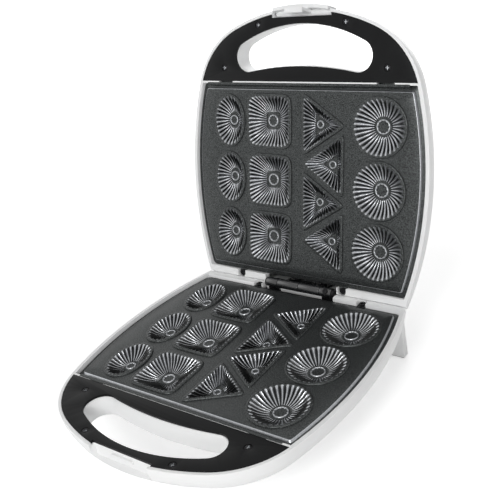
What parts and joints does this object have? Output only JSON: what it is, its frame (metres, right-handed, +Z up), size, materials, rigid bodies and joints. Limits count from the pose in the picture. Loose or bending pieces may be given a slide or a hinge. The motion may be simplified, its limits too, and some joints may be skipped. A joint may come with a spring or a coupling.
{
  "type": "pastry mould baker",
  "caption": "Clamshell electric pastry baker with fluted mould plates in round, square, oval and triangular shapes, a rear-hinged lid, looped handles and a snap latch.",
  "frame": {"origin": "centre of the bounding box's floor with the lid open", "axes": "+X to the right seen from the front, front handle towards -Y, +Z up"},
  "size_m": [0.238, 0.3202, 0.2802],
  "materials": {
    "white_abs": "satin",
    "black_plastic": "satin",
    "coated_plate": "non-stick coated",
    "dark_steel": "blackened",
    "element_steel": "satin",
    "reflector_sheet": "bright",
    "control_plastic": "matte",
    "black_rubber": "matte",
    "hinge_black": "satin",
    "pin_steel": "polished",
    "red_lens": "clear",
    "green_lens": "clear",
    "lamp_glass": "clear"
  },
  "bodies": {
    "base": {"base_shell": "white_abs", "base_handle_trim": "black_plastic", "base_mold_plate": "coated_plate", "base_trim_screws": "dark_steel", "base_plate_screws": "dark_steel", "base_hinge_screws": "dark_steel", "base_heating_element": "element_steel", "base_reflector": "reflector_sheet", "thermostat": "control_plastic", "terminal_block": "control_plastic", "base_thermal_fuse": "control_plastic", "cord_gland": "black_rubber", "rubber_feet": "black_rubber", "base_hinge_bracket": "hinge_black", "hinge_pin": "pin_steel", "pin_retainer": "pin_steel", "hinge_set_screw": "dark_steel"},
    "lid": {"lid_shell": "white_abs", "lid_handle_trim": "black_plastic", "lid_mold_plate": "coated_plate", "lid_trim_screws": "dark_steel", "lid_plate_screws": "dark_steel", "lid_hinge_screws": "dark_steel", "lid_heating_element": "element_steel", "lid_reflector": "reflector_sheet", "lid_thermal_fuse": "control_plastic", "lid_hinge_bracket": "hinge_black", "power_lamp_lens": "red_lens", "ready_lamp_lens": "green_lens", "lamp_bulbs": "lamp_glass", "latch_pin": "pin_steel"},
    "latch_clip": {"latch": "white_abs"}
  },
  "joints": [
    {"name": "lid_hinge", "type": "hinge", "parent": "base", "child": "lid", "pos_m": [0, 0.0755, 0.05], "axis": [1, 0, 0], "range_deg": [0, 106.35]},
    {"name": "latch_pivot", "type": "hinge", "parent": "lid", "child": "latch_clip", "pos_m": [0, 0.14777, 0.27151], "axis": [1, 0, 0], "range_deg": [0, 8]}
  ]
}
